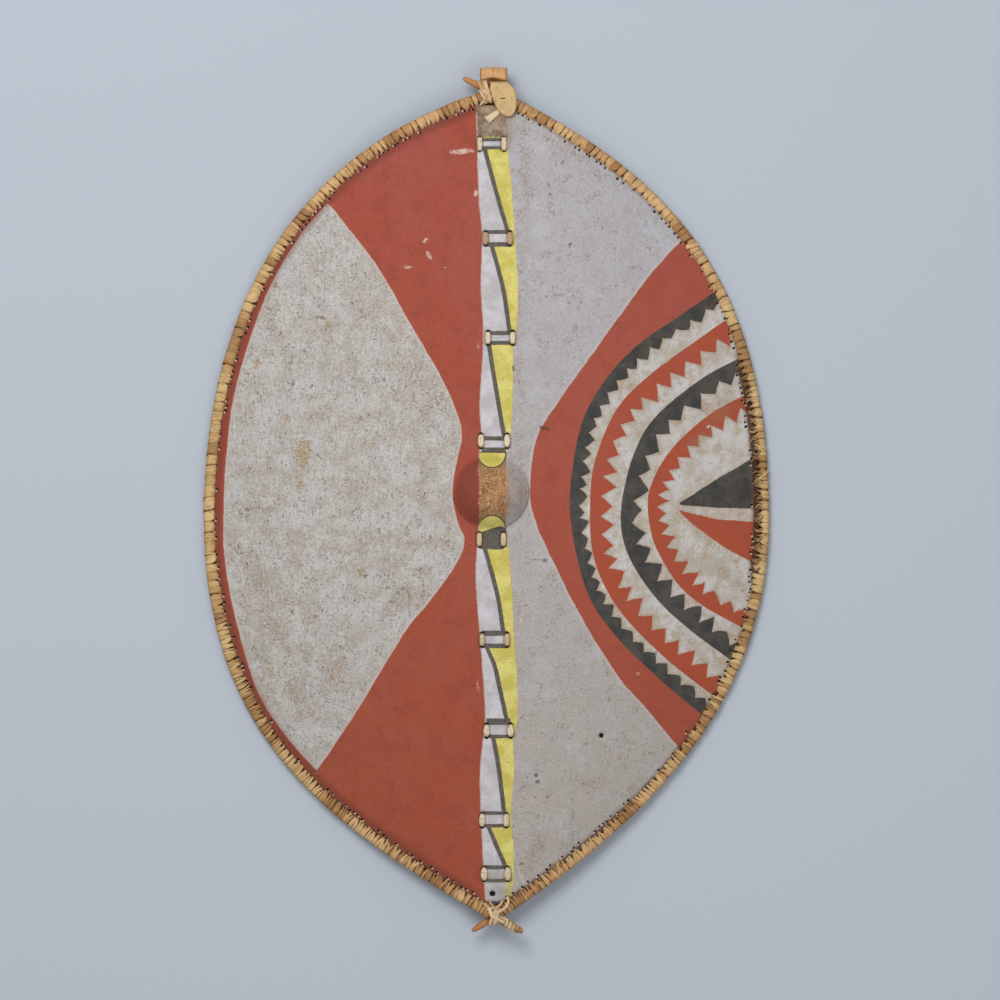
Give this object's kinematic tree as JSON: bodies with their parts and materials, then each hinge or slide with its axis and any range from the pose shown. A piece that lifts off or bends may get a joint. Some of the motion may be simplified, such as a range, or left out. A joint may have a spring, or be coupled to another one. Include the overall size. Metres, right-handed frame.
{
  "type": "hide shield",
  "caption": "Leaf-shaped painted hide shield with a knuckle boss, a rawhide-bound stick rim, a laced wooden back stave and a rawhide tongue at its top tip, lying face up.",
  "frame": {"origin": "centre of the bounding box on the plane the rim rests on", "axes": "+Y along the shield to its top tip, +Z out of the painted face, +X to the right as the face is seen"},
  "size_m": [0.6386, 0.9756, 0.1137],
  "materials": {
    "hide": "painted hide, matt, worn",
    "rim_wood": "peeled stick, satin",
    "rim_rawhide": "rawhide strip, satin",
    "stave_wood": "hand-worn wood, satin",
    "lacing_rawhide": "pale rawhide, matt",
    "tip_rawhide": "pale rawhide, matt"
  },
  "bodies": {
    "root": {"hide": "hide", "rim_stick_left": "rim_wood", "rim_stick_right": "rim_wood", "rim_binding_left": "rim_rawhide", "rim_binding_right": "rim_rawhide", "handle_stave": "stave_wood", "spine_lacing_1": "lacing_rawhide", "spine_lacing_2": "lacing_rawhide", "spine_lacing_3": "lacing_rawhide", "spine_lacing_4": "lacing_rawhide", "spine_lacing_5": "lacing_rawhide", "spine_lacing_6": "lacing_rawhide", "spine_lacing_7": "lacing_rawhide", "spine_lacing_8": "lacing_rawhide", "spine_lacing_9": "lacing_rawhide", "tip_lashing_top": "tip_rawhide", "tip_lashing_bottom": "tip_rawhide", "hanging_tongue": "tip_rawhide", "hanging_strap": "tip_rawhide", "tongue_tie": "tip_rawhide"}
  },
  "joints": []
}
